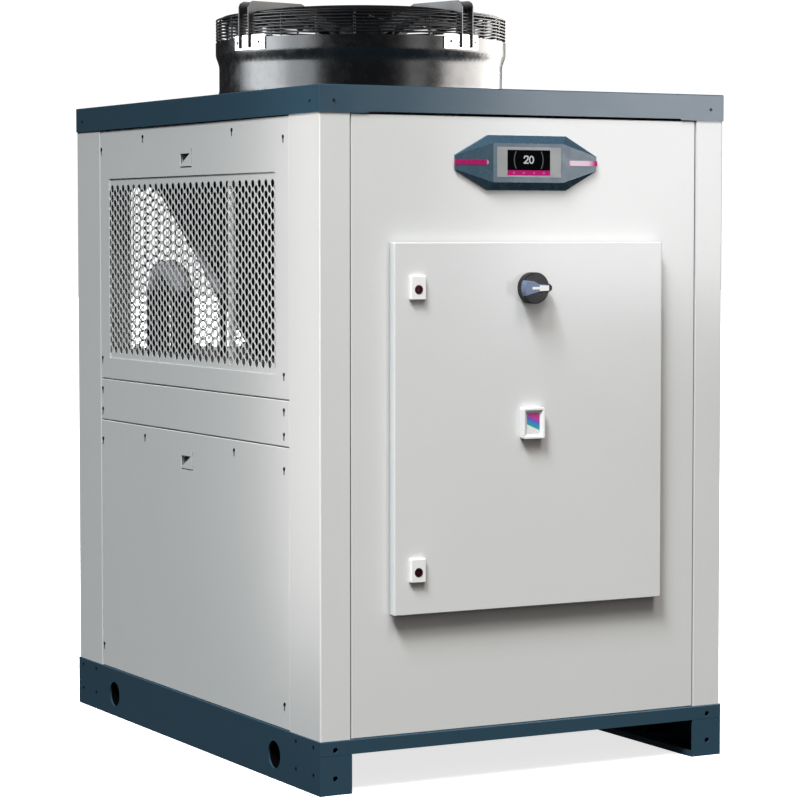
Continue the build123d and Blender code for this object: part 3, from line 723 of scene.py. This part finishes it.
def cut_ring(radius, z, r, half=0.0):
    """A wire ring, in four parts where the arms pass through."""
    if half <= 0:
        guard.add(*ring_tube(FC, radius, z, r, seg=112))
        return
    gap = ang_gap(radius, half)
    angs = sorted(a % (2 * math.pi) for a in ARM_ANG)
    for i, a in enumerate(angs):
        b = angs[(i + 1) % 4] + (2 * math.pi if i == 3 else 0)
        seg = max(6, int(112 * (b - a) / (2 * math.pi)))
        guard.add(*arc_tube(FC, radius, z, r, a + gap, b - gap, seg))
        # the short part between an arm's two plates
        guard.add(*arc_tube(FC, radius, z, r, a - ang_gap(radius, 0.0144), a + ang_gap(radius, 0.0144), 4))


side_z = [1.5775 + 0.0072 * k for k in range(7)]
for z in side_z:
    cut_ring(0.3317, z, WR, 0.0196)
dome = [(0.318, 1.6262), (0.300, 1.6290), (0.281, 1.6320), (0.262, 1.6348), (0.243, 1.6374), (0.224, 1.6396), (0.205, 1.6412),
        (0.186, 1.6424), (0.167, 1.6434), (0.148, 1.6440), (0.129, 1.6446), (0.110, 1.6450), (0.091, 1.6454), (0.062, 1.6457)]
for r, z in dome:
    cut_ring(r, z, WR, 0.0196 if r > 0.17 else 0.0)


def dome_z(r):
    pts = [(0.062, 1.6457)] + sorted(dome[:-1])
    xs = [p[0] for p in sorted(pts)]
    zs = [p[1] for p in sorted(pts)]
    return float(np.interp(r, xs, zs))


for k in range(24):
    t = math.radians(15.0 * k)
    if min(abs((t - a + math.pi) % (2 * math.pi) - math.pi) for a in ARM_ANG) < math.radians(5.0):
        continue
    inner_r = 0.062 if k % 2 == 1 else 0.148
    path = []
    for z in (1.5712, 1.60, 1.6180):
        path.append((0.3317 - 2 * WR, z))
    path += [(0.3262, 1.6226), (0.318, 1.6262 - 2 * WR)]
    for r in np.arange(0.300, inner_r, -0.019):
        path.append((float(r), dome_z(float(r)) - 2 * WR))
    path.append((inner_r, dome_z(inner_r) - 2 * WR))
    pts = [Vector((FC[0] + r * math.cos(t), FC[1] + r * math.sin(t), z)) for r, z in path]
    guard.add(*path_tube(pts, WR if k % 2 else WR * 1.15))
# small centre disc of the guard
guard.add(*turned_on((FC[0], FC[1], 1.6440), (0, 0, 1), [(0.0, 0.0), (0.062, 0.0), (0.063, 0.0012), (0.062, 0.0024), (0.0, 0.0024)], seg=48))
guard_wire = guard.make("fan_guard_wire", "chassis", "fan_black", sharp=60)
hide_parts("fan_guard")


# ------------------------------------------------------------------ screws and rivets
def screw_head(soup, at, normal, r=4.2, h=1.6, socket=1.9, mat=0):
    """A pan head with a six-sided socket."""
    s = 0.001
    n = Vector(normal)
    prof = [(0.0, (h - 1.2) * s), (socket * s, (h - 1.2) * s), (socket * s, h * s), (r * 0.62 * s, h * s), (r * 0.86 * s, h * 0.86 * s),
            (r * s, h * 0.45 * s), (r * s, -0.4 * s)]
    soup.add(*turned_on(at, n, prof, seg=18), mat=mat)


screws = Soup()
slot_shade = Soup()
left_marks = []
for d, z in ((1142, 1331), (896, 1354), (417, 1354), (169, 1332), (1140, 842), (167, 845),
             (1140, 770), (167, 772), (1140, 722), (167, 722),
             (890, 673), (410, 673), (1140, 651), (167, 651), (1140, 163), (167, 163)):
    left_marks.append((d, z))
    for sgn in (-1, 1):
        q = P(0, d, z)
        q.x = sgn * (CX - 3.0) / 1000.0
        screw_head(screws, q, (sgn, 0, 0))
        # a thin dark strip below each head: painted shade under the screw
        tail = P(0, d, z)
        tail.x = sgn * (CX - 3.0 + 0.35) / 1000.0
        lo_t = (tail.x - 0.0006, tail.y - 0.0015, tail.z - 0.0125)
        hi_t = (tail.x + 0.0002, tail.y + 0.0015, tail.z - 0.0040)
        slot_shade.add(*block(lo_t, hi_t, 0.0001))
for x, z in ((100, 1331), (300, 1354), (677, 1354), (877, 1331), (100, 842), (877, 842), (100, 770), (877, 770), (100, 722),
             (877, 722), (300, 673), (677, 673), (100, 651), (877, 651), (100, 163), (877, 163)):
    q = P(x, 0, z)
    q.y = (Y0 + D - 3.0) / 1000.0
    screw_head(screws, q, (0, 1, 0))
screws.make("panel_screws", "chassis", "zinc", mats=[metal("screw_zinc", (0.10, 0.11, 0.12, 1), rough=0.4)])
# the strips' dark grey is painted shade
slot_shade.make("screw_keyhole_shade", "chassis", "fan_black", mats=[coat_paint("keyhole_painted_shade", srgb(66, 68, 70), rough=0.6, var=0.1)])

caps = Soup()
for x in (34.0, W - 34.0):
    q = P(x, 0, 1400)
    screw_head(caps, q, (0, -1, 0), r=3.4, h=1.4, socket=1.5)
    q = P(x, D, 1400)
    screw_head(caps, q, (0, 1, 0), r=3.4, h=1.4, socket=1.5)
for d in (41.0, D - 41.0):
    for sgn in (-1, 1):
        q = P(0, d, 1400)
        q.x = sgn * CX / 1000.0
        screw_head(caps, q, (sgn, 0, 0), r=3.0, h=1.2, socket=1.3)
for d in (29.0, 109.0, D - 109.0, D - 29.0):
    for z in (97.0, 40.0):
        for sgn in (-1, 1):
            q = P(0, d, z)
            q.x = sgn * CX / 1000.0
            screw_head(caps, q, (sgn, 0, 0), r=3.4, h=1.2, socket=1.5)
caps.make("frame_screws", "chassis", "fan_black", mats=[M["fan_black"]])

# ------------------------------------------------------------------ switch pointer, lock marks, label
SW = (479.5, 1022.0)
ptr = Soup()
front_d = -58.0
o = P(SW[0], front_d, SW[1])
pts = [(-18, -2.6), (-0.5, -2.6), (-0.5, -6.0), (21.6, -5.2), (21.6, 5.2), (-0.5, 6.0), (-0.5, 2.6), (-18, 2.6)]
ptr.add(*flat_shape([(a / 1000, b / 1000) for a, b in pts], o + Vector((0, 0.0002, 0)), (1, 0, 0), (0, 0, 1), (0, -1, 0), 0.0006))
ptr.make("switch_pointer", "grip", "white_plastic", flat=True)

label = Soup()
lx0, lx1, lz0, lz1 = 464.6, 495.0, 720.0, 763.2
o = P(0, -31.8, 0)
label.add(*flat_shape([((x) / 1000, z / 1000) for x, z in ((lx0, lz0), (lx1, lz0), (lx1, lz1), (lx0, lz1))],
                      Vector((-CX / 1000, o.y, 0)), (1, 0, 0), (0, 0, 1), (0, -1, 0), 0.0005))


def label_material():
    """A plain blended colour field with a pale lower part and one thin strip."""
    g = Graph("badge_label")
    sep = g.add("ShaderNodeSeparateXYZ")
    g.link(g.co, "Object", sep, 0)
    t = g.range(sep, 2, 0.0, 1.0, lz0 / 1000, lz1 / 1000)
    u = g.range(sep, 0, 0.0, 0.30, X_OF(lx0), X_OF(lx1))
    add = g.add("ShaderNodeMath", operation="ADD")
    g.link(t, 0, add, 0)
    g.link(u, 0, add, 1)
    r = g.ramp(add, 0, [(0.0, srgb(225, 232, 230)), (0.44, srgb(228, 232, 232)), (0.47, srgb(30, 160, 140)), (0.62, srgb(30, 140, 190)),
                        (0.78, srgb(90, 80, 190)), (0.95, srgb(190, 50, 140))])
    g.link(r, 0, g.bsdf, "Base Color")
    n = g.noise(700.0, 2.0, 0.5)
    rr = g.range(n, 0, 0.25, 0.4)
    g.link(rr, 0, g.bsdf, "Roughness")
    g.bump([(n, 0, 0.05, 0.0001)])
    return g.mat


label.make("badge_label", "door", "white_plastic", mats=[label_material()], flat=True)

# ------------------------------------------------------------------ display content
SCR = (428.0, 531.2, 1254.0, 1306.5)


def glow_flat(name, col, strength):
    g = Graph(name)
    n = g.noise(2600.0, 1.0, 0.5)
    r = g.ramp(n, 0, [(0.3, shade(col, 0.9)), (0.7, col)])
    g.link(r, 0, g.bsdf, "Emission Color")
    g.set(Base_Color=(0.01, 0.01, 0.012, 1), Emission_Strength=strength, Roughness=0.3)
    return g.mat


M_DIGIT = glow_flat("screen_digit", srgb(215, 218, 220), 0.75)
M_STRIP = glow_flat("screen_strip", srgb(205, 12, 118), 0.75)
M_DIM = glow_flat("screen_dim", srgb(120, 124, 128), 0.5)

scr = Soup()
sx = (SCR[0] + SCR[1]) / 2
so = Vector((X_OF(sx), (Y0 - 12.2) / 1000.0, 0))


def on_screen(points, mat, thick=0.0003, dx=0.0):
    scr.add(*flat_shape([((a + dx) / 1000, b / 1000) for a, b in points], so, (1, 0, 0), (0, 0, 1), (0, -1, 0), thick), mat=mat)


hw = (SCR[1] - SCR[0]) / 2
on_screen([(-hw, SCR[2]), (hw, SCR[2]), (hw, SCR[2] + 10.8), (-hw, SCR[2] + 10.8)], 1)


def digit(segs, x0, z0, w, h, t):
    """Rounded stroke digits drawn as joined strokes."""
    for a, b in zip(segs, segs[1:]):
        ax, az = x0 + a[0] * w, z0 + a[1] * h
        bx, bz = x0 + b[0] * w, z0 + b[1] * h
        v = Vector((bx - ax, bz - az))
        ln = v.length
        v = v / ln
        nn = Vector((-v.y, v.x)) * (t / 2)
        e = v * (t * 0.32)
        on_screen([(ax - nn.x - e.x, az - nn.y - e.y), (bx - nn.x + e.x, bz - nn.y + e.y),
                   (bx + nn.x + e.x, bz + nn.y + e.y), (ax + nn.x - e.x, az + nn.y - e.y)], 0, thick=0.0004)


def curve(points, n=5):
    """Points along quadratic bends through a corner list."""
    outp = [points[0]]
    for i in range(1, len(points) - 1):
        a, b, c = points[i - 1], points[i], points[i + 1]
        p0 = ((a[0] + b[0]) / 2, (a[1] + b[1]) / 2) if i > 1 else a
        p2 = ((b[0] + c[0]) / 2, (b[1] + c[1]) / 2) if i < len(points) - 2 else c
        for k in range(1, n + 1):
            t = k / n
            outp.append(((1 - t) ** 2 * p0[0] + 2 * t * (1 - t) * b[0] + t * t * p2[0],
                         (1 - t) ** 2 * p0[1] + 2 * t * (1 - t) * b[1] + t * t * p2[1]))
    return outp


two = curve([(0.04, 0.74), (0.06, 1.0), (0.5, 1.02), (0.94, 1.0), (0.96, 0.70), (0.80, 0.48), (0.0, 0.0)]) + [(1.0, 0.0)]
zero = [(0.5 + 0.47 * math.cos(t), 0.5 + 0.5 * math.sin(t)) for t in np.linspace(0, 2 * math.pi, 21)]
digit(two, -11.5, 1279.6, 10.0, 14.0, 2.7)
digit(zero, 1.3, 1279.6, 10.0, 14.0, 2.7)
for s in (-1, 1):
    arc = []
    for k in range(15):
        t = -0.51 + 1.02 * k / 14
        arc.append((s * (36.7 * math.cos(t) - 2.0) - 0.3, 1286.0 + 36.7 * math.sin(t)))
    for a, b in zip(arc, arc[1:]):
        v = Vector((b[0] - a[0], b[1] - a[1]))
        nn = Vector((-v.y, v.x)).normalized() * 1.0
        on_screen([(a[0] - nn.x, a[1] - nn.y), (b[0] - nn.x, b[1] - nn.y), (b[0] + nn.x, b[1] + nn.y), (a[0] + nn.x, a[1] + nn.y)], 2)
for k, dx in enumerate((-36.0, -12.5, 12.5, 36.0)):
    # plain round and square keys on the strip
    z = SCR[2] + 5.4
    if k % 2 == 0:
        on_screen([(dx + 2.2 * math.cos(t), z + 2.2 * math.sin(t)) for t in np.linspace(0, 2 * math.pi, 12, endpoint=False)], 3, thick=0.0004)
    else:
        on_screen([(dx - 2.6, z - 1.6), (dx + 2.6, z - 1.6), (dx + 2.6, z + 1.6), (dx - 2.6, z + 1.6)], 3, thick=0.0004)
M_KEY = glow_flat("screen_key", srgb(232, 120, 185), 0.7)
screen_content = scr.make("screen_content", "chassis", "screen_black", mats=[M_DIGIT, M_STRIP, M_DIM, M_KEY], flat=True)

# ------------------------------------------------------------------ stage
scene = bpy.context.scene
floor_me = bpy.data.meshes.new("floor")
floor_me.from_pydata([(-40, -40, 0), (40, -40, 0), (40, 40, 0), (-40, 40, 0)], [], [(0, 1, 2, 3)])
floor = bpy.data.objects.new("floor", floor_me)
scene.collection.objects.link(floor)
g = Graph("floor_pale")
n = g.noise(1.2, 3.0, 0.5)
r = g.ramp(n, 0, [(0.3, (0.86, 0.86, 0.86, 1)), (0.7, (0.9, 0.9, 0.9, 1))])
g.link(r, 0, g.bsdf, "Base Color")
g.set(Roughness=0.9, Emission_Strength=0.74)
g.bsdf.inputs["Emission Color"].default_value = (1, 1, 1, 1)
floor_me.materials.append(g.mat)
floor.visible_diffuse = False
floor.visible_glossy = False
floor.visible_shadow = False

world = bpy.data.worlds.new("studio")
scene.world = world
world.use_nodes = True
nt = world.node_tree
nt.nodes.clear()
wo = nt.nodes.new("ShaderNodeOutputWorld")
lp = nt.nodes.new("ShaderNodeLightPath")
seen = nt.nodes.new("ShaderNodeBackground")
seen.inputs[0].default_value = (1, 1, 1, 1)
seen.inputs[1].default_value = 1.05
fill = nt.nodes.new("ShaderNodeBackground")
fill.inputs[0].default_value = (0.94, 0.97, 1.0, 1)
fill.inputs[1].default_value = 0.03
m2 = nt.nodes.new("ShaderNodeMixShader")
nt.links.new(lp.outputs["Is Camera Ray"], m2.inputs[0])
nt.links.new(fill.outputs[0], m2.inputs[1])
nt.links.new(seen.outputs[0], m2.inputs[2])
nt.links.new(m2.outputs[0], wo.inputs[0])

FAN_PARTS = [nodes[n] for n in ("fan_shroud", "fan_arms", "fan_brackets", "fan_motor", "fan_impeller")] + [guard_wire]
fan_only = bpy.data.collections.new("fan_only")
but_fan = bpy.data.collections.new("all_but_fan")
for o in FAN_PARTS:
    fan_only.objects.link(o)
    but_fan.objects.link(o)
for o in (nodes["display_screen"], nodes["display_lights"], screen_content):
    but_fan.objects.link(o)
for co in but_fan.collection_objects:
    co.light_linking.link_state = "EXCLUDE"


def aim(obj, target):
    d = Vector(target) - obj.location
    obj.rotation_mode = "QUATERNION"
    obj.rotation_quaternion = d.to_track_quat("-Z", "Y")


def area(name, at, target, sx_, sy_, power, color=(1, 1, 1), diffuse=True, glossy=True, to=None):
    li = bpy.data.lights.new(name, "AREA")
    li.shape = "RECTANGLE"
    li.size, li.size_y = sx_, sy_
    li.energy = power
    li.color = color
    ob = bpy.data.objects.new(name, li)
    scene.collection.objects.link(ob)
    ob.location = at
    aim(ob, target)
    ob.visible_diffuse = diffuse
    ob.visible_glossy = glossy
    ob.visible_camera = False
    if to is not None:
        ob.light_linking.receiver_collection = to
    return ob


def sun(name, azimuth, elevation, energy, angle, color):
    """A far light; azimuth is counted from the front towards the right."""
    li = bpy.data.lights.new(name, "SUN")
    li.energy = energy
    li.angle = math.radians(angle)
    li.color = color
    ob = bpy.data.objects.new(name, li)
    scene.collection.objects.link(ob)
    a, e = math.radians(azimuth), math.radians(elevation)
    d = Vector((math.sin(a) * math.cos(e), -math.cos(a) * math.cos(e), math.sin(e)))
    ob.rotation_mode = "QUATERNION"
    ob.rotation_quaternion = (-d).to_track_quat("-Z", "Y")
    ob.visible_glossy = False
    return ob


def card(name, az0, az1, dist, z, height, level, color, to):
    """A glossy reflection between two azimuths, as seen from the fan."""
    c = Vector((0.0, (Y0 + FAN_D) / 1000.0, 1.5))
    a = math.radians((az0 + az1) / 2.0)
    wide = 2.0 * dist * math.tan(math.radians(abs(az1 - az0) / 2.0))
    at = c + Vector((math.sin(a), -math.cos(a), 0.0)) * dist
    at.z = z
    return area(name, at, (c.x, c.y, z), wide, height, math.pi * wide * height * level, color, diffuse=False, to=to)


# key from the upper left: its shadows fall down and to the right
sun("key", -55.0, 58.0, 4.2, 16.0, (0.93, 0.965, 1.0))
sun("front_high", 0.0, 60.0, 1.5, 20.0, (1.0, 0.95, 0.90))
area("top_left", (-1.4, -2.2, 2.8), (0, -0.6, 0.9), 1.2, 1.2, 20.0, (0.95, 1.0, 0.99), glossy=False)
area("front_fill", (0.0, -5.0, 2.2), (0, -0.6, 0.9), 3.4, 4.2, 36.0, (1.0, 0.90, 0.86), glossy=False)
# strip just behind the front plane, which brightens the front end of the left side
area("left_strip", (-0.75, -0.58, 1.1), (-0.4885, -0.56, 1.1), 0.05, 1.6, 1.7, (1.0, 0.94, 0.92), glossy=False)
# soft box that shines in the upper right of the front
area("right_box", (2.06, -2.88, 1.57), (2.06, 0.0, 1.57), 1.68, 1.26, 46.0, (0.97, 0.975, 1.0), diffuse=False, to=but_fan)
# reflections in the shroud
card("left_card", -134, -62, 3.0, 1.9, 2.0, 5.6, (0.93, 0.97, 1.0), fan_only)
card("left_card_core", -122, -88, 2.8, 1.9, 2.0, 6.0, (0.93, 0.97, 1.0), fan_only)
card("strip_card", 7, 24, 3.0, 1.9, 2.0, 2.4, (1.0, 1.0, 1.0), fan_only)
card("right_card", 40, 118, 3.0, 1.9, 2.0, 11.0, (1.0, 0.965, 0.93), fan_only)
# the sides that the camera doesn't see
sun("rear_key", 125.0, 42.0, 1.9, 20.0, (1.0, 0.99, 0.97))
sun("rear_fill", 175.0, 35.0, 1.1, 20.0, (0.95, 0.98, 1.0))

cam_data = bpy.data.cameras.new("camera")
cam_data.lens = 124.75
cam_data.sensor_width = 36.0
cam_data.shift_x = 0.0
cam_data.shift_y = -0.02
cam_data.clip_start = 0.05
cam_data.clip_end = 200.0
cam = bpy.data.objects.new("camera", cam_data)
scene.collection.objects.link(cam)
cam.location = (-2.979, -5.5615, 1.1359)
cam.rotation_mode = "XYZ"
cam.rotation_euler = (math.radians(90 - 3.123), 0.0, math.radians(-28.409))
scene.camera = cam

scene.view_settings.view_transform = "Standard"
scene.view_settings.look = "None"
scene.view_settings.exposure = 0.0
scene.view_settings.gamma = 1.0
